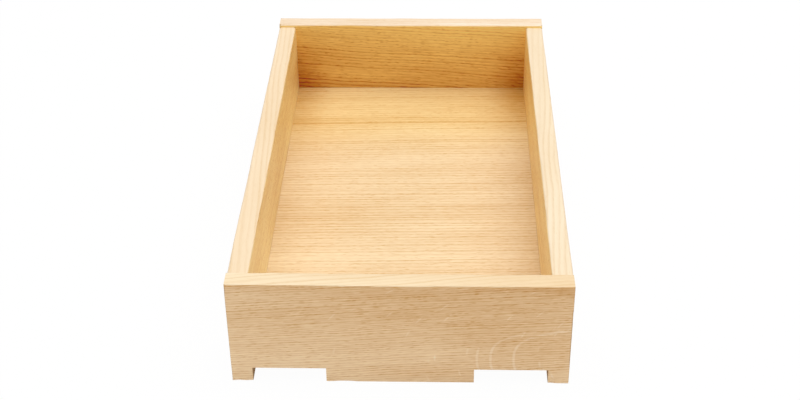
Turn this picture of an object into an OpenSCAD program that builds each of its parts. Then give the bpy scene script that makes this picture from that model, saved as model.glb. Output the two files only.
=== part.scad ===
// An open drawer box in oak: four boards doweled at the corners round a grooved-in base panel,
// with two notches in one end board for concealed runners.
// Millimetres. The origin is on the bench, under the middle of the box. +X runs across it,
// +Y along it from the notched end to the plain end, and +Z up.

/* [Box] */
// Width over the two side boards
box_w = 258; // [200:1:500]
// Depth over the two end boards
box_d = 440; // [250:1:650]
// Height of the two end boards
end_h = 92; // [84:0.5:160]
// Step down from the end boards' top edges to the side boards' top edges
side_step = 2.5; // [0:0.5:5]

/* [Boards] */
// Thickness of the two end boards
end_t = 16; // [14:0.5:20]
// Thickness of the two side boards
side_t = 16; // [14:0.5:20]
// Width and height of the small flat that eases each arris
arris = 0.6; // [0.2:0.1:1.5]

/* [Base panel] */
// Thickness of the base panel
base_t = 9; // [5:0.5:12]
// Depth of the groove that holds the panel in all four boards
groove_depth = 7; // [4:0.5:8]
// Gap over the panel in its groove
groove_play = 0.2; // [0.1:0.05:0.5]
// Gap between the panel's edges and the bottom of the groove
edge_play = 0.5; // [0.2:0.1:0.9]

/* [Runner notches] */
// Height kept free for a concealed runner: the space under the panel and the notches' height
runner_h = 13; // [8:0.5:16]
// Width of a notch, measured from the side board's inner face
notch_w = 56.5; // [30:0.5:70]

/* [Corner dowels] */
// Diameter of a dowel
dowel_d = 8; // [6:1:8]
// Length of a dowel
dowel_l = 30; // [25:1:40]
// Depth of a dowel's blind hole in the end board
end_hole = 11; // [9:0.5:12]
// Gap round a dowel, which the glue fills
glue_gap = 0.05; // [0.02:0.01:0.1]
// Length left free at each end of a dowel for surplus glue
glue_room = 1; // [0.5:0.1:1.5]
// Distance between the centres of neighbouring dowels
dowel_pitch = 32; // [25:1:40]
// Height of the lowest dowel's centre above the panel's upper face
dowel_rise = 14; // [10:1:18]
// Least wood above the highest dowel's centre
dowel_cover = 14; // [10:1:18]
// Number of glue flutes along a dowel
flute_count = 8; // [0:1:12]
// Radius of a flute
flute_r = 0.4; // [0.2:0.05:0.5]

/* [Hidden] */
side_h = end_h - side_step;
inner_w = box_w - 2 * side_t;
inner_d = box_d - 2 * end_t;
groove_h = base_t + groove_play;
panel_w = inner_w + 2 * (groove_depth - edge_play);
panel_d = inner_d + 2 * (groove_depth - edge_play);

dowel_in_end = end_hole - glue_room;
side_hole = dowel_l - dowel_in_end + glue_room;
dowel_chamfer = dowel_d / 8;
lowest_dowel = runner_h + base_t + dowel_rise;
dowels_up = floor((side_h - dowel_cover - lowest_dowel) / dowel_pitch);
dowel_heights = [for (i = [0 : dowels_up]) lowest_dowel + i * dowel_pitch];

// How far a cutting shape runs past the face that it cuts through
over = 1;
oak_grey = "#D8B78C";
oak_warm = "#E2B377";
oak_pale = "#EBC594";
beech = "#DDBB93";
$fn = 48;

// A board's cross-section, w by h from the origin, with its four arrises eased
module eased_section(w, h) {
    polygon([
        [arris, 0], [w - arris, 0], [w, arris], [w, h - arris],
        [w - arris, h], [arris, h], [0, h - arris], [0, arris]
    ]);
}

// An end board seen from above, outer face at y = 0, with its two outer corners eased
module end_plan() {
    polygon([
        [arris - box_w / 2, 0], [box_w / 2 - arris, 0], [box_w / 2, arris],
        [box_w / 2, end_t], [-box_w / 2, end_t], [-box_w / 2, arris]
    ]);
}

// The blind holes of one corner joint, at the joint face, drilled along +Y to the given depth
module joint_holes(depth) {
    for (z = dowel_heights)
        translate([0, -over, z])
            rotate([-90, 0, 0])
                cylinder(d = dowel_d + 2 * glue_gap, h = depth + over);
}

// An end board at the near end: outer face at y = -box_d / 2, grooved and drilled from its inner face
module near_end_board() {
    translate([0, -box_d / 2, 0])
        difference() {
            intersection() {
                translate([-box_w / 2, 0, 0])
                    rotate([90, 0, 90])
                        linear_extrude(box_w)
                            eased_section(end_t, end_h);
                linear_extrude(end_h)
                    end_plan();
            }
            translate([-inner_w / 2 - groove_depth, end_t - groove_depth, runner_h])
                cube([inner_w + 2 * groove_depth, groove_depth + over, groove_h]);
            for (side = [-1, 1])
                translate([side * (inner_w + side_t) / 2, end_t, 0])
                    mirror([0, 1, 0])
                        joint_holes(end_hole);
        }
}

module notched_end_board() {
    color(oak_grey)
        difference() {
            near_end_board();
            for (side = [0, 1])
                mirror([side, 0, 0])
                    translate([inner_w / 2 - notch_w, -box_d / 2 - over, -over])
                        cube([notch_w, end_t + 2 * over, runner_h + over]);
        }
}

module plain_end_board() {
    color(oak_warm)
        mirror([0, 1, 0])
            near_end_board();
}

// The side board on the +X side, with the groove in its inner face and holes in both ends
module right_side_board() {
    color(oak_pale)
        difference() {
            translate([inner_w / 2, inner_d / 2, 0])
                rotate([90, 0, 0])
                    linear_extrude(inner_d)
                        eased_section(side_t, side_h);
            translate([inner_w / 2 - over, -inner_d / 2 - over, runner_h])
                cube([groove_depth + over, inner_d + 2 * over, groove_h]);
            for (end = [0, 1])
                mirror([0, end, 0])
                    translate([(inner_w + side_t) / 2, -inner_d / 2, 0])
                        joint_holes(side_hole);
        }
}

module left_side_board() {
    mirror([1, 0, 0])
        right_side_board();
}

// The panel lies on the lower lips of the grooves
module base_panel() {
    color(oak_warm)
        translate([-panel_w / 2, -panel_d / 2, runner_h])
            cube([panel_w, panel_d, base_t]);
}

// One fluted dowel with chamfered ends, standing on z = 0
module dowel() {
    difference() {
        rotate_extrude()
            polygon([
                [0, 0], [dowel_d / 2 - dowel_chamfer, 0], [dowel_d / 2, dowel_chamfer],
                [dowel_d / 2, dowel_l - dowel_chamfer], [dowel_d / 2 - dowel_chamfer, dowel_l], [0, dowel_l]
            ]);
        if (flute_count > 0)
            for (i = [0 : flute_count - 1])
                rotate(i * 360 / flute_count)
                    translate([dowel_d / 2, 0, -over])
                        cylinder(r = flute_r, h = dowel_l + 2 * over, $fn = 16);
    }
}

// The dowels of the corner joint on the side x_side (-1 left, 1 right), end y_end (-1 near, 1 far)
module corner_dowels(x_side, y_end) {
    color(beech)
        for (z = dowel_heights)
            translate([x_side * (inner_w + side_t) / 2, y_end * (inner_d / 2 + dowel_in_end), z])
                rotate([y_end * 90, 0, 0])
                    dowel();
}

module near_left_dowels() {
    corner_dowels(-1, -1);
}

module near_right_dowels() {
    corner_dowels(1, -1);
}

module far_left_dowels() {
    corner_dowels(-1, 1);
}

module far_right_dowels() {
    corner_dowels(1, 1);
}

notched_end_board();
plain_end_board();
left_side_board();
right_side_board();
base_panel();
near_left_dowels();
near_right_dowels();
far_left_dowels();
far_right_dowels();
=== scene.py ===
import math

import bmesh
import bpy
from bpy.props import FloatProperty, FloatVectorProperty, PointerProperty
from mathutils import Matrix, Vector, noise
from mathutils.bvhtree import BVHTree
from mathutils.geometry import intersect_point_line


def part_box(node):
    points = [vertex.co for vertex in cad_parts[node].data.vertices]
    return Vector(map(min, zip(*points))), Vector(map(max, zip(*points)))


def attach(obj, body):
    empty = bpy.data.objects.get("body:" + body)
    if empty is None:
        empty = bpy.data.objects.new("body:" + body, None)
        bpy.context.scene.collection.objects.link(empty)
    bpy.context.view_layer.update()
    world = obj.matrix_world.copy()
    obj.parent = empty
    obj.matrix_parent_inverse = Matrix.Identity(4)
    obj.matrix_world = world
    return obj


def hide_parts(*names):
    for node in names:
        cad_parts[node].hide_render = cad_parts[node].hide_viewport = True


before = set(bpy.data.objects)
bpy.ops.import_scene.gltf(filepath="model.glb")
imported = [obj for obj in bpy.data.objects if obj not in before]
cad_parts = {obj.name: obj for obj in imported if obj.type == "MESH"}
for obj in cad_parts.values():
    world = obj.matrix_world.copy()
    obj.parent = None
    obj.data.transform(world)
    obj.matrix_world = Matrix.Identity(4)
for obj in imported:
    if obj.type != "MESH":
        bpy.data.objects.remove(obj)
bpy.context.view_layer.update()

bl_info = {
    "name": "Oak Drawer Box",
    "version": (1, 0, 0),
    "blender": (4, 5, 0),
    "location": "View3D > Sidebar > Oak Box",
    "description": "Builds the boards, finishes and studio of an open oak drawer box round its packed frame",
    "category": "Object",
}

MM = 0.001
UP = (0, 0, 1)
# How far a cutting shape runs past the face that it cuts through
OVER = 1 * MM
# Corners nearer to each other than this are one corner
WELD = 0.001 * MM

# Places that the frame gives
NEAR_LOW, NEAR_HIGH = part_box("notched_end_board")
FAR_LOW, FAR_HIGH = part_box("plain_end_board")
LEFT_LOW, LEFT_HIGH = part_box("left_side_board")
RIGHT_LOW, RIGHT_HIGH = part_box("right_side_board")
PANEL_LOW, PANEL_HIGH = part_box("base_panel")

# The photograph's frame and places in it. The first four are the object's extreme x and y. The rest are
# corners where boards end or meet, and the turning points of the pale ray flecks on the near face.
PHOTO_SIZE = (800, 400)
IMAGE_POINTS = {
    "left_x": 223.6,
    "right_x": 575.3,
    "top_y": 17.8,
    "bottom_y": 383.2,
    "near_face_top_left": (223.6, 285.8),
    "near_face_top_right": (575.3, 288.2),
    "near_face_bottom_left": (232.7, 380.2),
    "near_face_bottom_right": (568.5, 383.2),
    "left_notch_top_right": (325.9, 368.3),
    "right_notch_top_left": (474.2, 369.8),
    "near_top_inner_left": (247.3, 272.3),
    "near_top_inner_right": (552.6, 274.5),
    "far_top_back_left": (281.9, 17.8),
    "far_top_back_right": (540.7, 18.3),
    "floor_far_left": (298.3, 87.0),
    "floor_far_right": (523.8, 88.1),
    "right_ray_fleck": (513.6, 358.9),
    "middle_ray_fleck": (490.5, 358.7),
    "left_ray_fleck": (476.8, 358.6),
}


def linear_colour(code):
    """An sRGB hex colour, such as #E8C391, as linear red, green, blue and alpha."""
    shares = [int(code[place:place + 2], 16) / 255 for place in (1, 3, 5)]
    linear = [s / 12.92 if s <= 0.04045 else ((s + 0.055) / 1.055) ** 2.4 for s in shares]
    return (*linear, 1.0)


def colour_property(name, description, code):
    return FloatVectorProperty(
        name=name, description=description, default=linear_colour(code), size=4, min=0, max=1,
        subtype="COLOR")


def length_property(name, description, size, least, most):
    """A length, given in millimetres."""
    return FloatProperty(
        name=name, description=description, default=size * MM, min=least * MM, max=most * MM,
        unit="LENGTH")


class JoinerySettings(bpy.types.PropertyGroup):
    """Sizes of the boards and their joints that the frame's boxes don't give."""
    arris_radius: length_property(
        "Arris radius", "Radius to which the long arrises are sanded", 1.6, 0.3, 3)
    arris_wander: FloatProperty(
        name="Arris wander", description="Share by which the sanded radius comes and goes along an arris",
        default=0.45, min=0, max=3)
    front_wander: FloatProperty(
        name="Front arris wander", description="The same for the arrises of the notched end's outer face",
        default=2.2, min=0, max=3)
    notch_width: length_property(
        "Notch width", "Width of a runner notch, from the side board's inner face", 56.5, 30, 70)
    groove_depth: length_property(
        "Groove depth", "Depth of the groove that holds the base panel", 7, 4, 8)
    groove_play: length_property("Groove play", "Gap over the panel in its groove", 0.2, 0.1, 0.5)
    dowel_diameter: length_property("Dowel diameter", "Diameter of a corner dowel", 8, 6, 8)
    glue_gap: length_property("Glue gap", "Gap round a dowel in its hole", 0.05, 0.02, 0.1)
    glue_room: length_property(
        "Glue room", "Length of hole left free past each end of a dowel", 1, 0.5, 1.5)


class OakSettings(bpy.types.PropertyGroup):
    """Tones of the lacquered oak and of the beech."""
    face_tone: colour_property("Outer faces", "Mean tone of the boards' outer faces", "#EEC48E")
    # The upper edges' tones are paler and less red than the faces': painted sheen
    notched_end_edge: colour_property(
        "Notched end, edge", "Mean tone of the notched end board's upper edge", "#E5CBA1")
    plain_end_edge: colour_property(
        "Plain end, edge", "Mean tone of the plain end board's upper edge", "#E5CCAC")
    left_side_edge: colour_property(
        "Left side, edge", "Mean tone of the left side board's upper edge", "#E7CDA7")
    right_side_edge: colour_property(
        "Right side, edge", "Mean tone of the right side board's upper edge", "#E5CFAC")
    # The inner faces' tones are more saturated than the outer faces': painted bounce light and shade inside
    # the box
    plain_end_inside: colour_property(
        "Plain end, inside", "Mean tone of the plain end board's inner face", "#E8B75E")
    left_side_inside: colour_property(
        "Left side, inside", "Mean tone of the left side board's inner face", "#EFD08B")
    right_side_inside: colour_property(
        "Right side, inside", "Mean tone of the right side board's inner face", "#F5D082")
    panel_tone: colour_property("Base panel", "Mean tone of the base panel's veneer", "#E0C08F")
    # Painted light: the panel's far end is yellower for the warm light that the plain end board throws onto
    # it
    panel_far_painted_light: colour_property(
        "Base panel, far end", "Mean tone of its far end, where the veneer is yellower", "#E2C184")
    beech_tone: colour_property("Dowels", "Ground tone of the beech dowels", "#DDBB93")


class StudioSettings(bpy.types.PropertyGroup):
    """The camera, the lights and the white sweep."""
    camera_place: FloatVectorProperty(
        name="Camera place", description="Where the camera stands", size=3, subtype="TRANSLATION",
        default=(0.02914, -1.04558, 0.71654))
    pan: FloatProperty(
        name="Pan", description="Turn of the camera about the vertical", default=0.03327, subtype="ANGLE")
    tilt: FloatProperty(
        name="Tilt", description="Turn of the camera up from the horizon", default=-0.58634, subtype="ANGLE")
    roll: FloatProperty(
        name="Roll", description="Turn of the camera about its line of sight", default=0.01247,
        subtype="ANGLE")
    lens: FloatProperty(
        name="Lens", description="Focal length in millimetres on a sensor 36 mm wide", default=63.565, min=10)
    room_light: FloatProperty(
        name="Room light", description="Strength of the even white light from all round", default=0.43, min=0)
    softbox_light: FloatProperty(
        name="Softbox", description="Power of the broad softbox over the box", default=39.5, min=0,
        unit="POWER")
    softbox_place: FloatVectorProperty(
        name="Softbox place", description="Where the softbox hangs", size=3, subtype="TRANSLATION",
        default=(0.2, 0.15, 1.8))
    softbox_side: FloatProperty(
        name="Softbox side", description="Side of the square softbox", default=2.6, min=0.1, unit="LENGTH")
    shadow_share: FloatProperty(
        name="Shadow share", description="Share of the floor's own shading that shows in its white",
        default=0.03, min=0, max=1, subtype="FACTOR")


# Camera and image points

def camera_turn(studio):
    """Rotation of a camera that looks along +Y before it is rolled, tilted and panned."""
    level = Matrix.Rotation(math.radians(90), 4, "X")
    pan = Matrix.Rotation(studio.pan, 4, "Z")
    tilt = Matrix.Rotation(studio.tilt, 4, "X")
    roll = Matrix.Rotation(studio.roll, 4, "Y")
    return pan @ tilt @ roll @ level


def image_ray(camera, x, y):
    """Start and direction of the ray through a point of the photograph."""
    width, height = PHOTO_SIZE
    long_side = max(width, height)
    lens = camera.data
    aim = Vector((
        x - width / 2 + lens.shift_x * long_side,
        height / 2 - y + lens.shift_y * long_side,
        -long_side * lens.lens / lens.sensor_width))
    return camera.matrix_world.translation, (camera.matrix_world.to_3x3() @ aim).normalized()


def image_place(camera, place):
    """Where a place in the scene shows in the photograph: image_ray the other way round."""
    width, height = PHOTO_SIZE
    long_side = max(width, height)
    lens = camera.data
    seen = camera.matrix_world.inverted() @ place
    scale = long_side * lens.lens / lens.sensor_width / -seen.z
    return (
        seen.x * scale + width / 2 - lens.shift_x * long_side,
        height / 2 - seen.y * scale + lens.shift_y * long_side)


def surface_tree(pieces):
    """A search tree of the finished surfaces of some pieces."""
    corners = []
    faces = []
    for piece in pieces:
        first = len(corners)
        corners.extend(vertex.co.copy() for vertex in piece.data.vertices)
        faces.extend([first + index for index in face.vertices] for face in piece.data.polygons)
    return BVHTree.FromPolygons(corners, faces)


def surface_place(camera, tree, point):
    """Where the ray through a point of the photograph meets a surface, or the place nearest that ray."""
    start, aim = image_ray(camera, *point)
    place = tree.ray_cast(start, aim)[0]
    if place is None:
        # The whole box lies between 0.5 and 2 m from the camera
        steps = (start + aim * step * MM for step in range(500, 2000))
        place = min((tree.find_nearest(step) for step in steps), key=lambda found: found[3])[0]
    return place


def vertex_shows(camera, tree, place):
    """Whether the camera sees a vertex, which it does when nothing lies in front of it. The vertex's own
    faces don't count, so the look stops 0.2 mm short of it."""
    start = camera.matrix_world.translation
    way = place - start
    return tree.ray_cast(start, way.normalized(), way.length - 0.2 * MM)[0] is None


# Materials

def add_node(tree, kind, inputs=(), **settings):
    """Adds a node and returns its outputs. settings are its properties, and inputs gives each socket, by its
    name or number, a value or the output that feeds it."""
    node = tree.nodes.new(kind if kind.startswith("NodeGroup") else "ShaderNode" + kind)
    for name, value in settings.items():
        setattr(node, name, value)
    for socket, value in dict(inputs).items():
        if isinstance(value, bpy.types.NodeSocket):
            tree.links.new(value, node.inputs[socket])
        else:
            node.inputs[socket].default_value = value
    return node.outputs


def fade(tree, value, none, full, most=1.0):
    """0 where a value is at none or past it, most where it is at full, and a smooth slope between them."""
    return add_node(
        tree, "MapRange", {"Value": value, "From Min": none, "From Max": full, "To Max": most},
        interpolation_type="SMOOTHSTEP")[0]


def blend(tree, share, none, full):
    """none where a share is 0, full where it is 1, and an even slope between them."""
    return add_node(tree, "MapRange", {"Value": share, "To Min": none, "To Max": full})[0]


def new_material(name):
    material = bpy.data.materials.new(name)
    material.use_nodes = True
    material.node_tree.nodes.clear()
    return material


def oak_wood():
    """Oak as a solid, in millimetres along and across its log: growth rings round the pith, rows of open
    pores in their early wood, fibres, and broad bands. Any face cut through it shows that face's own figure.
    Ground is its mean colour, Figure is how strongly its rings and bands show, and Grain its pores and
    fibres. Lacquer soak and corner shade is 1 on end grain, which has drunk its fill of lacquer, and the far
    inner corners add painted shade to it."""
    if "oak_wood" in bpy.data.node_groups:
        return bpy.data.node_groups["oak_wood"]
    tree = bpy.data.node_groups.new("oak_wood", "ShaderNodeTree")
    for name, kind in (
            ("Log place", "Vector"), ("Pith", "Vector"), ("Ring width", "Float"), ("Heart", "Float"),
            ("Drift", "Float"), ("Bands", "Float"), ("Seed", "Vector"), ("Ground", "Color"),
            ("Lacquer", "Float"), ("Figure", "Float"), ("Grain", "Float")):
        tree.interface.new_socket(name, in_out="INPUT", socket_type="NodeSocket" + kind)
    for name, kind in (("Color", "Color"), ("Roughness", "Float"), ("Height", "Float")):
        tree.interface.new_socket(name, in_out="OUTPUT", socket_type="NodeSocket" + kind)
    given = add_node(tree, "NodeGroupInput")

    # The log's long bends, 160 by 50 mm, and the short waves of its fibres, 26 by 6 mm
    seeded = add_node(tree, "VectorMath", {0: given["Log place"], 1: given["Seed"]}, operation="ADD")[0]
    bent = given["Log place"]
    for cell, sway, detail in (((160, 50, 50), 5.0, 1.0), ((26, 6, 6), 0.6, 0.0)):
        scaled = add_node(tree, "VectorMath", {0: seeded, 1: cell}, operation="DIVIDE")[0]
        wave = add_node(tree, "TexNoise", {"Vector": scaled, "Scale": 1.0, "Detail": detail})["Color"]
        centred = add_node(tree, "VectorMath", {0: wave, 1: (0.5, 0.5, 0.5)}, operation="SUBTRACT")[0]
        bent = add_node(
            tree, "VectorMath", {0: centred, 1: (0, sway, sway), 2: bent}, operation="MULTIPLY_ADD")[0]

    # Rings are counted by the distance from the pith, and fat and lean spells about 9 mm long shift them
    from_pith = add_node(tree, "VectorMath", {0: bent, 1: given["Pith"]}, operation="SUBTRACT")[0]
    flat = add_node(tree, "VectorMath", {0: from_pith, 1: (0, 1, 1)}, operation="MULTIPLY")[0]
    radius = add_node(tree, "VectorMath", {0: flat}, operation="LENGTH")["Value"]
    seed = add_node(tree, "SeparateXYZ", {0: given["Seed"]})["X"]
    decade = add_node(tree, "Math", {0: radius, 1: 1 / 9, 2: seed}, operation="MULTIPLY_ADD")[0]
    fatness = add_node(
        tree, "TexNoise", {"W": decade, "Scale": 1.0, "Detail": 1.0}, noise_dimensions="1D")["Fac"]
    even_years = add_node(tree, "Math", {0: radius, 1: given["Ring width"]}, operation="DIVIDE")[0]
    years = add_node(tree, "Math", {0: fatness, 1: 1.2, 2: even_years}, operation="MULTIPLY_ADD")[0]
    season = add_node(tree, "Math", {0: years}, operation="FRACT")[0]
    year = add_node(tree, "Math", {0: years}, operation="FLOOR")[0]
    vigour = add_node(tree, "TexWhiteNoise", {"W": year}, noise_dimensions="1D")["Value"]
    # Early wood starts soon after the winter line and thins out round the middle of the ring. A poor year's
    # shows a quarter as strongly as a good year's
    spring = fade(tree, season, 0.0, 0.14)
    summer = fade(tree, season, 0.62, 0.22)
    early = add_node(tree, "Math", {0: spring, 1: summer}, operation="MULTIPLY")[0]
    strength = add_node(tree, "Math", {0: vigour, 1: 0.75, 2: 0.25}, operation="MULTIPLY_ADD")[0]
    early = add_node(tree, "Math", {0: early, 1: strength}, operation="MULTIPLY")[0]

    # Each row of fibres starts somewhere else along the log
    row_place = add_node(tree, "VectorMath", {0: bent, 1: (0, 0.4, 0.4)}, operation="MULTIPLY")[0]
    row = add_node(tree, "TexNoise", {"Vector": row_place, "Scale": 1.0, "Detail": 0.0})["Fac"]
    along = add_node(tree, "CombineXYZ", {"X": row})[0]
    strung = add_node(tree, "VectorMath", {0: along, 1: (40, 0, 0), 2: bent}, operation="MULTIPLY_ADD")[0]
    # Pores: 0.25 mm wide and 2 to 8 mm long in real oak, drawn 0.6 mm wide so that they show in the render.
    # They crowd in the early wood, and few are in the late wood
    pore_place = add_node(tree, "VectorMath", {0: strung, 1: (5, 0.85, 0.85)}, operation="DIVIDE")[0]
    pore = add_node(tree, "TexVoronoi", {"Vector": pore_place, "Scale": 1.0, "Randomness": 1.0})
    chance = add_node(tree, "SeparateColor", {"Color": pore["Color"]})["Red"]
    crowd = add_node(tree, "Math", {0: early, 1: 0.75, 2: 0.16}, operation="MULTIPLY_ADD")[0]
    open_pore = add_node(tree, "Math", {0: chance, 1: crowd}, operation="LESS_THAN")[0]
    core = fade(tree, pore["Distance"], 0.55, 0.2)
    pores = add_node(tree, "Math", {0: core, 1: open_pore}, operation="MULTIPLY")[0]
    # Fibres: streaks about 1 mm across and 9 mm long
    fibre_place = add_node(tree, "VectorMath", {0: strung, 1: (9, 0.95, 0.95)}, operation="DIVIDE")[0]
    fibres = add_node(
        tree, "TexNoise", {"Vector": fibre_place, "Scale": 1.0, "Detail": 2.0, "Roughness": 0.6})["Fac"]
    # Bands from 40 mm down to 10 mm across
    band_place = add_node(tree, "VectorMath", {0: seeded, 1: (240, 40, 40)}, operation="DIVIDE")[0]
    bands = add_node(
        tree, "TexNoise", {"Vector": band_place, "Scale": 1.0, "Detail": 2.0, "Roughness": 0.65})["Fac"]

    # How much more of its brown the wood holds than its mean. It drifts along the log, it is browner where
    # end grain holds more lacquer and where corner shade is painted, and each part adds its strength less its
    # own mean
    along = add_node(tree, "SeparateXYZ", {0: given["Log place"]})["X"]
    drift = add_node(tree, "Math", {0: along, 1: given["Drift"]}, operation="MULTIPLY")[0]
    density = add_node(tree, "Math", {0: given["Lacquer"], 1: 0.22, 2: drift}, operation="MULTIPLY_ADD")[0]
    middle_radius = add_node(tree, "VectorMath", {0: given["Pith"]}, operation="LENGTH")["Value"]
    for strength, part, share, mean in (
            ("Figure", early, 0.24, 0.22), ("Figure", bands, given["Bands"], 0.5),
            ("Figure", radius, given["Heart"], middle_radius),
            ("Grain", pores, 0.24, 0.1), ("Grain", fibres, 0.5, 0.5)):
        above = add_node(tree, "Math", {0: part, 1: mean}, operation="SUBTRACT")[0]
        shown = add_node(tree, "Math", {0: given[strength], 1: share}, operation="MULTIPLY")[0]
        density = add_node(tree, "Math", {0: above, 1: shown, 2: density}, operation="MULTIPLY_ADD")[0]
    # The brown takes away about twice as much green as red, and twice as much blue as green
    taken = add_node(tree, "VectorMath", {0: (0.55, 1.0, 1.8), "Scale": density}, operation="SCALE")[0]
    left = add_node(tree, "VectorMath", {0: (1, 1, 1), 1: taken}, operation="SUBTRACT")[0]
    shade = add_node(tree, "VectorMath", {0: given["Ground"], 1: left}, operation="MULTIPLY")[0]
    rough = add_node(tree, "Math", {0: pores, 1: 0.12, 2: 0.46}, operation="MULTIPLY_ADD")[0]
    height = add_node(tree, "Math", {0: pores, 1: -1.0}, operation="MULTIPLY")[0]
    add_node(tree, "NodeGroupOutput", {"Color": shade, "Roughness": rough, "Height": height})
    return tree


# How each board lay in its log, in millimetres. Middle is the board's centre, turn the lie of its grain, in
# degrees about Y and Z from +X, and pith the log's middle, across the grain from the board's centre.
# Heart is how much browner the faces get with each millimetre away from the pith, drift with each one along
# the grain, and edge drift the same for the upper edge. Figure and edge figure are how strongly the inner
# face and the upper edge show their rings and bands, bands how strong the bands are beside the rings, and
# painted corner shade how strongly shade is painted into the far inner corners as darker, browner wood.
LOGS = {
    "notched_end": {
        "middle": (0, -212, 46), "turn": (-3.8, 0), "pith": (-92, -150), "ring": 1.9, "heart": 0.0037,
        "drift": 0.00035, "edge_drift": 0.0006, "figure": 1.7, "edge_figure": 0.67,
        "bands": 0.65, "painted_corner_shade": 0, "seed": 217},
    # The plain end's heart makes its faces browner towards their foot: painted shade where the board meets
    # the panel
    "plain_end": {
        "middle": (0, 212, 46), "turn": (3.7, 0), "pith": (-180, -110), "ring": 1.8, "heart": -0.0115,
        "drift": 0.0002, "edge_drift": -0.00055, "figure": 1.7, "edge_figure": 1.2,
        "bands": 0.6, "painted_corner_shade": 2, "seed": 148},
    "left_side": {
        "middle": (-121, 0, 45), "turn": (0.7, 92), "pith": (100, -130), "ring": 2.4, "heart": 0,
        "drift": 0, "edge_drift": 0, "figure": 1.7, "edge_figure": 0.5,
        "bands": 0.65, "painted_corner_shade": 0.8, "seed": 195},
    "right_side": {
        "middle": (121, 0, 45), "turn": (0.5, 88), "pith": (-100, -130), "ring": 2.6, "heart": 0,
        "drift": 0, "edge_drift": 0, "figure": 1.7, "edge_figure": 0.5,
        "bands": 0.65, "painted_corner_shade": 0.5, "seed": 84},
    "panel": {
        "middle": (0, 0, 17.5), "turn": (0, 1.6), "pith": (-350, 25), "ring": 4.2, "heart": 0,
        "drift": 0.0002, "figure": 1.1, "bands": 0.5, "painted_corner_shade": 1.5, "seed": 223},
}

# How strongly the boards' outer faces show their figure
OUTER_FIGURE = 1.25
# Share of their figure's strength that the upper edges keep, weakened as their painted sheen washes it out
EDGE_FIGURE_UNDER_SHEEN = 0.42
# Share of the faces' brightness that end grain keeps, as it swallows more of the light
END_GRAIN = 0.65


def facing(tree, normal, direction):
    """1 where a face looks in a direction, and 0 from about 70 degrees off it."""
    along = add_node(tree, "VectorMath", {0: normal, 1: direction}, operation="DOT_PRODUCT")["Value"]
    return add_node(tree, "MapRange", {"Value": along, "From Min": 0.3, "From Max": 0.8})[0]


def far_corner_shade(tree, place):
    """1 in the two far bottom corners of the inside, where shade is painted into the wood, and 0 from 40 mm
    off the side boards, 80 mm off the panel and 120 mm off the plain end board."""
    axes = add_node(tree, "SeparateXYZ", {0: place})
    aside = add_node(tree, "Math", {0: axes["X"]}, operation="ABSOLUTE")[0]
    near = 1.0
    for distance, low, high in (
            (aside, RIGHT_LOW.x - 40 * MM, RIGHT_LOW.x), (axes["Y"], FAR_LOW.y - 120 * MM, FAR_LOW.y),
            (axes["Z"], PANEL_HIGH.z + 80 * MM, PANEL_HIGH.z)):
        near = add_node(tree, "Math", {0: near, 1: fade(tree, distance, low, high)}, operation="MULTIPLY")[0]
    return near


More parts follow.
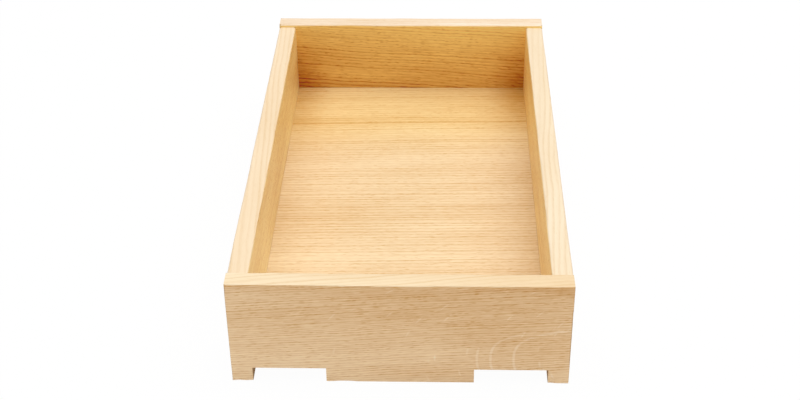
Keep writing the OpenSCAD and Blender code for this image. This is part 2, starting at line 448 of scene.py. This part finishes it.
def lacquered_oak(name, log, inside, inner_tone, painted_sheen_edge_tone=None, marks=None, far_painted_light=None):
    """Solid oak, planed, sanded and clear-lacquered: a satin sheen over fine broken lines of pores, upper
    edges painted paler and plainer as painted sheen, darker and duller end grain. inside is the direction of
    the inner face. Its tone is given, and the upper edge's and the tone of the inner face's far end where
    they differ from it; on the boards the inner tone is painted bounce light and shade, and the far end's
    tone, where given, is painted warm light from the plain end board. marks adds a board's own marks."""
    material = new_material(name)
    tree = material.node_tree
    facts = LOGS[log]
    tilt, swing = (math.radians(angle) for angle in facts["turn"])
    lie = Matrix.Rotation(swing, 3, "Z") @ Matrix.Rotation(tilt, 3, "Y")
    back = lie.inverted()
    place = add_node(tree, "TexCoord")["Object"]
    log_place = add_node(tree, "Mapping", {
        "Vector": place, "Scale": (1 / MM, 1 / MM, 1 / MM), "Rotation": back.to_euler("XYZ"),
        "Location": -(back @ Vector(facts["middle"]))})[0]
    normal = add_node(tree, "NewGeometry")["Normal"]
    grain = lie.col[0]
    sawn_off = add_node(tree, "Math", {
        0: facing(tree, normal, grain), 1: facing(tree, normal, -grain)}, operation="MAXIMUM")[0]
    inner = facing(tree, normal, inside)
    # Painted shade: the far inner corners are darkened and browned as strongly as the board's painted corner
    # shade says
    painted_corner_shade = add_node(tree, "Math", {0: far_corner_shade(tree, place), 1: inner}, operation="MULTIPLY")[0]
    soak_and_corner_shade = add_node(
        tree, "Math", {0: painted_corner_shade, 1: facts["painted_corner_shade"], 2: sawn_off}, operation="MULTIPLY_ADD")[0]
    outer_tone = tuple(bpy.context.scene.oak_tones.face_tone)
    inner_ground = tuple(inner_tone)
    if far_painted_light:
        # The painted warm light from the plain end board comes in between 140 and 60 mm from that board
        along = add_node(tree, "SeparateXYZ", {0: place})["Y"]
        far = fade(tree, along, FAR_LOW.y - 140 * MM, FAR_LOW.y - 60 * MM)
        inner_ground = add_node(
            tree, "Mix", {0: far, 6: inner_ground, 7: tuple(far_painted_light)}, data_type="RGBA")[2]
    # On the boards the inner face's tone is painted bounce light and shade, more saturated than the outer
    # faces'
    ground = add_node(tree, "Mix", {0: inner, 6: outer_tone, 7: inner_ground}, data_type="RGBA")[2]
    broad = fine = blend(tree, inner, OUTER_FIGURE, facts["figure"])
    heart = facts["heart"]
    drift = facts["drift"]
    if painted_sheen_edge_tone:
        # Painted sheen: upward faces take the paler edge tone, a plainer figure, no heart gradient and their
        # own drift
        upward = facing(tree, normal, UP)
        ground = add_node(tree, "Mix", {0: upward, 6: ground, 7: tuple(painted_sheen_edge_tone)}, data_type="RGBA")[2]
        heart = blend(tree, upward, heart, 0.0)
        drift = blend(tree, upward, drift, facts["edge_drift"])
        broad = blend(tree, upward, broad, facts["edge_figure"])
        fine = blend(tree, upward, fine, facts["edge_figure"] * EDGE_FIGURE_UNDER_SHEEN)
    wood = add_node(tree, "Group", {
        "Log place": log_place, "Pith": (0, *facts["pith"]), "Ring width": facts["ring"],
        "Heart": heart, "Drift": drift, "Bands": facts["bands"],
        "Seed": (facts["seed"] * 73, facts["seed"] * 31, facts["seed"] * 57),
        "Ground": ground, "Lacquer": soak_and_corner_shade, "Figure": broad, "Grain": fine}, node_tree=oak_wood())
    dim = blend(tree, sawn_off, 1.0, END_GRAIN)
    shade = add_node(tree, "VectorMath", {0: wood["Color"], "Scale": dim}, operation="SCALE")[0]
    if marks:
        shade = marks(tree, place, normal, shade)
    # Lacquer half fills the pores and leaves them about 0.05 mm deep
    bump = add_node(tree, "Bump", {"Strength": 0.5, "Distance": 0.05 * MM, "Height": wood["Height"]})[0]
    coat = blend(tree, sawn_off, 0.5, 0.0)
    rough = add_node(tree, "Math", {0: sawn_off, 1: 0.4, 2: wood["Roughness"]}, operation="MULTIPLY_ADD")[0]
    shader = add_node(tree, "BsdfPrincipled", {
        "Base Color": shade, "Roughness": rough, "IOR": 1.5, "Normal": bump,
        "Coat Weight": coat, "Coat Roughness": 0.35, "Coat IOR": 1.5})[0]
    add_node(tree, "OutputMaterial", {"Surface": shader})
    return material


# The long ray flecks: the image point where each turns, how high up the board it reaches in millimetres, and
# how strong it is
BOWS = (("right_ray_fleck", 62, 1.0), ("middle_ray_fleck", 50, 0.9), ("left_ray_fleck", 37, 0.85))
# At the height h from its turning point a bow strays sideways by BOW_SQUARE h^2 + BOW_FOURTH h^4
BOW_SQUARE = 0.0084
BOW_FOURTH = 0.000058


def ray_flecks(tree, place, normal, shade):
    """The pale flecks on the notched end board's outer face, which runs nearly along the wood's rays: three
    long bows towards its right end, and short ones scattered over it."""
    camera = bpy.context.scene.camera
    face = surface_tree([bpy.data.objects["notched_end"]])
    turnings = {name: surface_place(camera, face, IMAGE_POINTS[name]) / MM for name, *_ in BOWS}
    axes = add_node(tree, "SeparateXYZ", {0: place})
    x = add_node(tree, "Math", {0: axes["X"], 1: 1 / MM}, operation="MULTIPLY")[0]
    z = add_node(tree, "Math", {0: axes["Z"], 1: 1 / MM}, operation="MULTIPLY")[0]
    height = add_node(tree, "Math", {0: z, 1: turnings["middle_ray_fleck"].z}, operation="SUBTRACT")[0]
    square = add_node(tree, "Math", {0: height, 1: height}, operation="MULTIPLY")[0]
    bend = add_node(tree, "Math", {0: square, 1: BOW_FOURTH, 2: BOW_SQUARE}, operation="MULTIPLY_ADD")[0]
    stray = add_node(tree, "Math", {0: square, 1: bend}, operation="MULTIPLY")[0]
    bow_x = add_node(tree, "Math", {0: x, 1: stray}, operation="SUBTRACT")[0]
    # Divided by the slope's length, a sideways distance is one square to the bow
    slope = add_node(
        tree, "Math", {0: square, 1: 4 * BOW_FOURTH, 2: 2 * BOW_SQUARE}, operation="MULTIPLY_ADD")[0]
    slope = add_node(tree, "Math", {0: slope, 1: height}, operation="MULTIPLY")[0]
    length = add_node(tree, "Math", {0: slope, 1: slope, 2: 1.0}, operation="MULTIPLY_ADD")[0]
    length = add_node(tree, "Math", {0: length}, operation="SQRT")[0]
    flecks = 0.0
    for name, highest, strength in BOWS:
        aside = add_node(tree, "Math", {0: bow_x, 1: turnings[name].x}, operation="SUBTRACT")[0]
        off = add_node(tree, "Math", {0: aside, 1: length}, operation="DIVIDE")[0]
        off = add_node(tree, "Math", {0: off}, operation="ABSOLUTE")[0]
        line = fade(tree, off, 1.35, 0.4)
        end = add_node(tree, "MapRange", {
            "Value": z, "From Min": highest, "From Max": highest - 4, "To Max": strength})[0]
        flecks = add_node(tree, "Math", {0: line, 1: end, 2: flecks}, operation="MULTIPLY_ADD")[0]
    # The short flecks are about 1.5 mm wide and 6 mm long, one in some of the cells of 2.4 by 9 mm. They lean
    # over less than the bows do, and the few there are gather towards the right end
    lean = add_node(tree, "Math", {0: square, 1: -0.011, 2: x}, operation="MULTIPLY_ADD")[0]
    row_x = add_node(tree, "Math", {0: lean, 1: 1 / 2.4}, operation="MULTIPLY")[0]
    row_z = add_node(tree, "Math", {0: z, 1: 1 / 9}, operation="MULTIPLY")[0]
    row_place = add_node(tree, "CombineXYZ", {"X": row_x, "Y": row_z})[0]
    short = add_node(tree, "TexVoronoi", {"Vector": row_place, "Scale": 1.0}, voronoi_dimensions="2D")
    chance = add_node(tree, "SeparateColor", {"Color": short["Color"]})["Red"]
    chance = add_node(tree, "Math", {0: x, 1: -0.00016, 2: chance}, operation="MULTIPLY_ADD")[0]
    few = add_node(tree, "MapRange", {
        "Value": chance, "From Min": 0.026, "From Max": 0.01, "To Max": 0.8})[0]
    core = fade(tree, short["Distance"], 0.5, 0.15)
    flecks = add_node(tree, "Math", {0: few, 1: core, 2: flecks}, operation="MULTIPLY_ADD")[0]
    outer = facing(tree, normal, (0, -1, 0))
    amount = add_node(tree, "Math", {0: flecks, 1: outer}, operation="MULTIPLY", use_clamp=True)[0]
    # A fleck is paler and less yellow than the wood, and the grain runs on through it
    lift = add_node(tree, "VectorMath", {0: (0.085, 0.185, 0.43), "Scale": amount}, operation="SCALE")[0]
    lift = add_node(tree, "VectorMath", {0: lift, 1: (1, 1, 1)}, operation="ADD")[0]
    return add_node(tree, "VectorMath", {0: shade, 1: lift}, operation="MULTIPLY")[0]


def beech(name, tone):
    """Turned and fluted beech, left bare in its glue: fine straight grain along the dowel and short rays."""
    material = new_material(name)
    tree = material.node_tree
    place = add_node(tree, "TexCoord")["Object"]
    # Grain 0.5 mm across and 12 mm long, rays 0.3 mm across and 2 mm long, both along Y as the dowels lie
    grain_place = add_node(tree, "Mapping", {"Vector": place, "Scale": (2000, 83, 2000)})[0]
    grain = add_node(tree, "TexNoise", {"Vector": grain_place, "Scale": 1.0, "Detail": 2.0})["Fac"]
    ray_place = add_node(tree, "Mapping", {"Vector": place, "Scale": (3300, 500, 3300)})[0]
    ray = add_node(tree, "TexVoronoi", {"Vector": ray_place, "Scale": 1.0})["Distance"]
    ray = add_node(tree, "MapRange", {"Value": ray, "From Min": 0.3, "From Max": 0.1})[0]
    dark = (tone[0] * 0.8, tone[1] * 0.74, tone[2] * 0.66, 1)
    shade = add_node(tree, "Mix", {0: grain, 6: tuple(tone), 7: dark}, data_type="RGBA")[2]
    shade = add_node(tree, "Mix", {0: ray, 6: shade, 7: dark}, data_type="RGBA")[2]
    shader = add_node(tree, "BsdfPrincipled", {"Base Color": shade, "Roughness": 0.7, "IOR": 1.5})[0]
    add_node(tree, "OutputMaterial", {"Surface": shader})
    return material


# Boards

def new_piece(name, bm):
    """A piece of the scene from a bmesh."""
    mesh = bpy.data.meshes.new(name)
    bm.to_mesh(mesh)
    bm.free()
    piece = bpy.data.objects.new(name, mesh)
    bpy.context.scene.collection.objects.link(piece)
    return piece


def block(low, high):
    """A bmesh block between two corners."""
    bm = bmesh.new()
    bmesh.ops.create_cube(bm, size=1)
    bmesh.ops.scale(bm, vec=high - low, verts=bm.verts)
    bmesh.ops.translate(bm, vec=(low + high) / 2, verts=bm.verts)
    return bm


def near_sides(place, low, high, reach):
    """For each axis, the side of the block that a place lies within reach of, or None."""
    sides = []
    for axis in range(3):
        if place[axis] - low[axis] < reach:
            sides.append(low[axis])
        elif high[axis] - place[axis] < reach:
            sides.append(high[axis])
        else:
            sides.append(None)
    return sides


# How the radius of an arris swells under a hand-held sanding pad: how strong and how long each kind of swell
# is, and the least and the greatest share of the radius that they may leave
SWELLS = ((1.4, 50 * MM), (0.8, 12 * MM))
LEAST_SHARE = 0.2
GREATEST_SHARE = 2.5


def sand_arrises(bm, low, high, is_arris, wander):
    """Rounds the block's arrises that is_arris picks by their direction and middle, then lets the radius come
    and go along them. wander gives the share by which it does so at a place, for each axis: shares of unlike
    signs are a pad that leans now on one face, now on the other."""
    radius = bpy.context.scene.oak_joinery.arris_radius
    picked = []
    for edge in bm.edges:
        ends = [vertex.co for vertex in edge.verts]
        direction = max(range(3), key=lambda axis: abs(ends[1][axis] - ends[0][axis]))
        if is_arris(direction, (ends[0] + ends[1]) / 2):
            picked.append(edge)
    rounded = bmesh.ops.bevel(
        bm, geom=picked, offset=radius, offset_type="OFFSET", segments=4, profile=0.5, material=-1,
        affect="EDGES")
    for face in rounded["faces"]:
        face.smooth = True
    # Just past the rounding, and how far apart the places are at which the radius comes and goes
    reach = 1.05 * radius
    step = 2.5 * MM
    for axis in range(3):
        along = []
        for edge in bm.edges:
            start, end = (vertex.co for vertex in edge.verts)
            sides = near_sides((start + end) / 2, low, high, reach)
            on_arris = sum(side is not None for side in sides) == 2
            if on_arris and abs(end[axis] - start[axis]) > 4 * step:
                along.append(edge)
        if along:
            cuts = int(along[0].calc_length() / step)
            bmesh.ops.subdivide_edges(bm, edges=along, cuts=cuts)
    for vertex in bm.verts:
        place = vertex.co.copy()
        swell = sum(strength * noise.noise(place / length) for strength, length in SWELLS)
        for axis, side in enumerate(near_sides(place, low, high, reach)):
            if side is not None:
                scale = min(max(LEAST_SHARE, 1 + wander(place, axis) * swell), GREATEST_SHARE)
                vertex.co[axis] = side + (place[axis] - side) * scale


def close_slits(mesh):
    """Welds the slits that cuts leave where a corner of one face lies within an edge of another."""
    bm = bmesh.new()
    bm.from_mesh(mesh)
    rims = [edge for edge in bm.edges if edge.is_boundary]
    corners = {vertex for edge in rims for vertex in edge.verts}
    for rim in rims:
        for corner in sorted(corners.difference(rim.verts), key=lambda vertex: vertex.index):
            nearest, share = intersect_point_line(corner.co, rim.verts[0].co, rim.verts[1].co)
            if 0 < share < 1 and (nearest - corner.co).length < WELD:
                bmesh.utils.edge_split(rim, rim.verts[0], share)
                break
    bmesh.ops.remove_doubles(bm, verts=bm.verts, dist=WELD)
    bm.to_mesh(mesh)
    bm.free()


def cut_away(piece, tools):
    """Takes the shapes of some tools out of a piece, as a router and a drill do, and removes the tools."""
    for tool in tools:
        cut = piece.modifiers.new(tool.name, "BOOLEAN")
        cut.operation = "DIFFERENCE"
        cut.solver = "EXACT"
        cut.object = tool
    shaped = bpy.data.meshes.new_from_object(piece.evaluated_get(bpy.context.evaluated_depsgraph_get()))
    piece.modifiers.clear()
    piece.data = shaped
    for tool in tools:
        bpy.data.objects.remove(tool)
    if not shaped.polygons:
        raise RuntimeError(f"nothing is left of {piece.name}")
    close_slits(shaped)


def drills(corners):
    """Round tools for the dowel holes at some corners, through both boards of each joint."""
    joinery = bpy.context.scene.oak_joinery
    radius = joinery.dowel_diameter / 2 + joinery.glue_gap
    tools = []
    for corner in corners:
        low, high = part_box(corner + "_dowels")
        # The flutes take a little off the dowels' box on every side, so half of its width leads to their axes
        half = (high.x - low.x) / 2
        length = high.y - low.y + 2 * joinery.glue_room
        for height in (low.z + half, high.z - half):
            bm = bmesh.new()
            bmesh.ops.create_cone(
                bm, cap_ends=True, segments=48, radius1=radius, radius2=radius, depth=length)
            bmesh.ops.rotate(bm, matrix=Matrix.Rotation(math.radians(90), 3, "X"), verts=bm.verts)
            bmesh.ops.translate(bm, vec=((low.x + high.x) / 2, (low.y + high.y) / 2, height), verts=bm.verts)
            tools.append(new_piece("drill", bm))
    return tools


def groove_cutter(low, high):
    """The router's path for a stretch of the base panel's groove: low and high give its x and y."""
    top = PANEL_HIGH.z + bpy.context.scene.oak_joinery.groove_play
    return new_piece("groove", block(Vector((low[0], low[1], PANEL_LOW.z)), Vector((high[0], high[1], top))))


def place_board(piece, node, material):
    """Gives a finished board its material, and puts it in its CAD node's place."""
    piece.data.materials.clear()
    piece.data.materials.append(material)
    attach(piece, "root")
    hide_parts(node)


def end_board(name, low, high, outer_y, outer_wander):
    """An end board with its arrises sanded: all the long ones, and the upright ones of its outer face."""
    def is_arris(direction, middle):
        return direction == 0 or (direction == 2 and abs(middle.y - outer_y) < 1 * MM)

    def wander(place, axis):
        joinery = bpy.context.scene.oak_joinery
        if abs(place.y - outer_y) > 2 * joinery.arris_radius:
            return joinery.arris_wander
        return outer_wander if axis == 1 else -outer_wander

    bm = block(low, high)
    sand_arrises(bm, low, high, is_arris, wander)
    return new_piece(name, bm)


def side_board(name, low, high):
    """A side board with its four long arrises sanded and its ends left crisp for the joints."""
    wander = bpy.context.scene.oak_joinery.arris_wander
    bm = block(low, high)
    sand_arrises(bm, low, high, lambda direction, middle: direction == 1, lambda place, axis: wander)
    return new_piece(name, bm)


class OAKBOX_OT_notched_end_board(bpy.types.Operator):
    """Build the end board with the two runner notches"""
    bl_idname = "oakbox.notched_end_board"
    bl_label = "Notched end board"

    def execute(self, context):
        joinery = context.scene.oak_joinery
        board = end_board("notched_end", NEAR_LOW, NEAR_HIGH, NEAR_LOW.y, joinery.front_wander)
        tools = []
        for inner, outer in ((LEFT_HIGH.x + joinery.notch_width, LEFT_HIGH.x),
                             (RIGHT_LOW.x - joinery.notch_width, RIGHT_LOW.x)):
            low = Vector((min(inner, outer), NEAR_LOW.y - OVER, -OVER))
            # A hair past the groove's lower side, or a skin of no thickness would be left between the two
            high = Vector((max(inner, outer), NEAR_HIGH.y + OVER, PANEL_LOW.z + 0.02 * MM))
            tools.append(new_piece("notch", block(low, high)))
        tools.append(groove_cutter(
            (LEFT_HIGH.x - joinery.groove_depth, NEAR_HIGH.y - joinery.groove_depth),
            (RIGHT_LOW.x + joinery.groove_depth, NEAR_HIGH.y + OVER)))
        cut_away(board, tools + drills(("near_left", "near_right")))
        tones = context.scene.oak_tones
        # The photograph doesn't show this board's inner face, so it takes the left side's tone
        place_board(board, "notched_end_board", lacquered_oak(
            "lacquered_oak_notched_end", "notched_end", (0, 1, 0), tones.left_side_inside,
            tones.notched_end_edge, ray_flecks))
        return {"FINISHED"}


class OAKBOX_OT_plain_end_board(bpy.types.Operator):
    """Build the end board without notches"""
    bl_idname = "oakbox.plain_end_board"
    bl_label = "Plain end board"

    def execute(self, context):
        joinery = context.scene.oak_joinery
        board = end_board("plain_end", FAR_LOW, FAR_HIGH, FAR_HIGH.y, joinery.arris_wander)
        groove = groove_cutter(
            (LEFT_HIGH.x - joinery.groove_depth, FAR_LOW.y - OVER),
            (RIGHT_LOW.x + joinery.groove_depth, FAR_LOW.y + joinery.groove_depth))
        cut_away(board, [groove] + drills(("far_left", "far_right")))
        tones = context.scene.oak_tones
        place_board(board, "plain_end_board", lacquered_oak(
            "lacquered_oak_plain_end", "plain_end", (0, -1, 0), tones.plain_end_inside,
            tones.plain_end_edge))
        return {"FINISHED"}


class OAKBOX_OT_side_boards(bpy.types.Operator):
    """Build the left and right side boards"""
    bl_idname = "oakbox.side_boards"
    bl_label = "Side boards"

    def execute(self, context):
        depth = context.scene.oak_joinery.groove_depth
        tones = context.scene.oak_tones
        for side, inside, low, high, groove_from, groove_to in (
                ("left", (1, 0, 0), LEFT_LOW, LEFT_HIGH, LEFT_HIGH.x - depth, LEFT_HIGH.x + OVER),
                ("right", (-1, 0, 0), RIGHT_LOW, RIGHT_HIGH, RIGHT_LOW.x - OVER, RIGHT_LOW.x + depth)):
            name = side + "_side"
            board = side_board(name, low, high)
            groove = groove_cutter((groove_from, low.y - OVER), (groove_to, high.y + OVER))
            cut_away(board, [groove] + drills(("near_" + side, "far_" + side)))
            place_board(board, name + "_board", lacquered_oak(
                "lacquered_oak_" + name, name, inside, getattr(tones, name + "_inside"),
                getattr(tones, name + "_edge")))
        return {"FINISHED"}


class OAKBOX_OT_base_panel(bpy.types.Operator):
    """Veneer and lacquer the base panel, which keeps its CAD shape"""
    bl_idname = "oakbox.base_panel"
    bl_label = "Base panel"

    def execute(self, context):
        tones = context.scene.oak_tones
        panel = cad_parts["base_panel"]
        panel.data.materials.clear()
        panel.data.materials.append(lacquered_oak(
            "lacquered_oak_veneer", "panel", UP, tones.panel_tone, far_painted_light=tones.panel_far_painted_light))
        return {"FINISHED"}


class OAKBOX_OT_dowels(bpy.types.Operator):
    """Give the corner dowels, which keep their CAD shape, their beech"""
    bl_idname = "oakbox.dowels"
    bl_label = "Dowels"

    def execute(self, context):
        material = beech("bare_beech", context.scene.oak_tones.beech_tone)
        for corner in ("near_left", "near_right", "far_left", "far_right"):
            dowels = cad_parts[corner + "_dowels"]
            dowels.data.materials.clear()
            dowels.data.materials.append(material)
        return {"FINISHED"}


# Studio

def white_share(tree):
    """1 for rays from the camera, a gloss or a clear body, which see the sweep as plain white, and 0 for the
    rest."""
    ray = add_node(tree, "LightPath")
    seen = add_node(tree, "Math", {0: ray["Is Camera Ray"], 1: ray["Is Glossy Ray"]}, operation="MAXIMUM")[0]
    return add_node(tree, "Math", {0: seen, 1: ray["Is Transmission Ray"]}, operation="MAXIMUM")[0]


def light_room(studio):
    """A world that lights evenly from all round and shows as white."""
    world = bpy.data.worlds.new("room")
    world.use_nodes = True
    tree = world.node_tree
    tree.nodes.clear()
    even = add_node(tree, "Background", {"Color": (1, 1, 1, 1), "Strength": studio.room_light})[0]
    white = add_node(tree, "Background", {"Color": (1, 1, 1, 1), "Strength": 1.0})[0]
    both = add_node(tree, "MixShader", {0: white_share(tree), 1: even, 2: white})[0]
    add_node(tree, "OutputWorld", {"Surface": both})
    bpy.context.scene.world = world


def hang_softbox(studio):
    """A square softbox aimed at the middle of the box's footprint."""
    lamp = bpy.data.lights.new("softbox", "AREA")
    lamp.shape = "SQUARE"
    lamp.size = studio.softbox_side
    lamp.energy = studio.softbox_light
    softbox = bpy.data.objects.new("softbox", lamp)
    bpy.context.scene.collection.objects.link(softbox)
    softbox.location = studio.softbox_place
    softbox.rotation_euler = (-softbox.location).to_track_quat("-Z", "Y").to_euler()


def lay_floor(studio):
    """The sweep of white paper, 10 m square: white to the eye, with a share of its own shading, so that it
    keeps a shadow. From below it is clear, so that the underside can be seen."""
    bm = bmesh.new()
    bmesh.ops.create_grid(bm, x_segments=1, y_segments=1, size=5)
    floor = new_piece("floor", bm)
    material = new_material("white_paper_sweep")
    tree = material.node_tree
    share = add_node(
        tree, "Math", {0: white_share(tree), 1: 1 - studio.shadow_share}, operation="MULTIPLY")[0]
    paper = add_node(tree, "BsdfDiffuse", {"Color": (0.93, 0.93, 0.93, 1)})[0]
    white = add_node(tree, "Emission", {"Color": (1, 1, 1, 1), "Strength": 1.0})[0]
    above = add_node(tree, "MixShader", {0: share, 1: paper, 2: white})[0]
    under = add_node(tree, "NewGeometry")["Backfacing"]
    clear = add_node(tree, "BsdfTransparent")[0]
    both = add_node(tree, "MixShader", {0: under, 1: above, 2: clear})[0]
    add_node(tree, "OutputMaterial", {"Surface": both})
    floor.data.materials.append(material)


class OAKBOX_OT_stage(bpy.types.Operator):
    """Set up the camera, the softbox, the room's light and the white sweep"""
    bl_idname = "oakbox.stage"
    bl_label = "Stage"

    def execute(self, context):
        studio = context.scene.oak_studio
        camera = bpy.data.objects.new("camera", bpy.data.cameras.new("camera"))
        context.scene.collection.objects.link(camera)
        camera.data.sensor_width = 36
        camera.data.sensor_fit = "AUTO"
        camera.data.lens = studio.lens
        camera.matrix_world = Matrix.Translation(studio.camera_place) @ camera_turn(studio)
        context.scene.camera = camera
        hang_softbox(studio)
        light_room(studio)
        lay_floor(studio)
        context.scene.view_settings.view_transform = "Standard"
        return {"FINISHED"}


class OAKBOX_PT_panel(bpy.types.Panel):
    """The pieces of the oak box, with the sizes and tones that they are made from"""
    bl_idname = "OAKBOX_PT_panel"
    bl_label = "Oak Box"
    bl_space_type = "VIEW_3D"
    bl_region_type = "UI"
    bl_category = "Oak Box"

    def draw(self, context):
        for operator in OPERATORS:
            self.layout.operator(operator.bl_idname)
        for settings in (context.scene.oak_joinery, context.scene.oak_tones, context.scene.oak_studio):
            column = self.layout.column()
            for name in settings.__annotations__:
                column.prop(settings, name)


OPERATORS = (
    OAKBOX_OT_stage, OAKBOX_OT_notched_end_board, OAKBOX_OT_plain_end_board, OAKBOX_OT_side_boards,
    OAKBOX_OT_base_panel, OAKBOX_OT_dowels)
CLASSES = (JoinerySettings, OakSettings, StudioSettings, *OPERATORS, OAKBOX_PT_panel)


def register():
    for cls in CLASSES:
        bpy.utils.register_class(cls)
    bpy.types.Scene.oak_joinery = PointerProperty(type=JoinerySettings)
    bpy.types.Scene.oak_tones = PointerProperty(type=OakSettings)
    bpy.types.Scene.oak_studio = PointerProperty(type=StudioSettings)


def unregister():
    del bpy.types.Scene.oak_studio
    del bpy.types.Scene.oak_tones
    del bpy.types.Scene.oak_joinery
    for cls in reversed(CLASSES):
        bpy.utils.unregister_class(cls)


# Reports

def write_points():
    """Works out where the seen vertices of the boards and panel show, which vertices of each named corner's
    board the camera sees, and where the rays through the ray flecks' points meet the boards; it keeps none of
    it.
    """
    camera = bpy.context.scene.camera
    near = bpy.data.objects["notched_end"]
    far = bpy.data.objects["plain_end"]
    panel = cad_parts["base_panel"]
    pieces = [near, far, panel, bpy.data.objects["left_side"], bpy.data.objects["right_side"]]
    tree = surface_tree(pieces)
    seen = [
        image_place(camera, vertex.co) for piece in pieces for vertex in piece.data.vertices
        if vertex_shows(camera, tree, vertex.co)]
    width = bpy.context.scene.oak_joinery.notch_width
    corners = {
        "near_face_top_left": (near, (NEAR_LOW.x, NEAR_LOW.y, NEAR_HIGH.z)),
        "near_face_top_right": (near, (NEAR_HIGH.x, NEAR_LOW.y, NEAR_HIGH.z)),
        "near_face_bottom_left": (near, (NEAR_LOW.x, NEAR_LOW.y, NEAR_LOW.z)),
        "near_face_bottom_right": (near, (NEAR_HIGH.x, NEAR_LOW.y, NEAR_LOW.z)),
        "left_notch_top_right": (near, (LEFT_HIGH.x + width, NEAR_LOW.y, PANEL_LOW.z)),
        "right_notch_top_left": (near, (RIGHT_LOW.x - width, NEAR_LOW.y, PANEL_LOW.z)),
        "near_top_inner_left": (near, (LEFT_HIGH.x, NEAR_HIGH.y, NEAR_HIGH.z)),
        "near_top_inner_right": (near, (RIGHT_LOW.x, NEAR_HIGH.y, NEAR_HIGH.z)),
        "far_top_back_left": (far, (FAR_LOW.x, FAR_HIGH.y, FAR_HIGH.z)),
        "far_top_back_right": (far, (FAR_HIGH.x, FAR_HIGH.y, FAR_HIGH.z)),
    }
    for name, (piece, corner) in corners.items():
        shown = [vertex.co for vertex in piece.data.vertices if vertex_shows(camera, tree, vertex.co)]
    # The floor's corners are where the panel's upper face meets three boards, not vertices
    for name in ("right_ray_fleck", "middle_ray_fleck", "left_ray_fleck"):
        turning = surface_place(camera, tree, IMAGE_POINTS[name])


def main():
    register()
    bpy.ops.oakbox.stage()
    bpy.ops.oakbox.notched_end_board()
    bpy.ops.oakbox.plain_end_board()
    bpy.ops.oakbox.side_boards()
    bpy.ops.oakbox.base_panel()
    bpy.ops.oakbox.dowels()
    write_points()


if __name__ == "__main__":
    main()
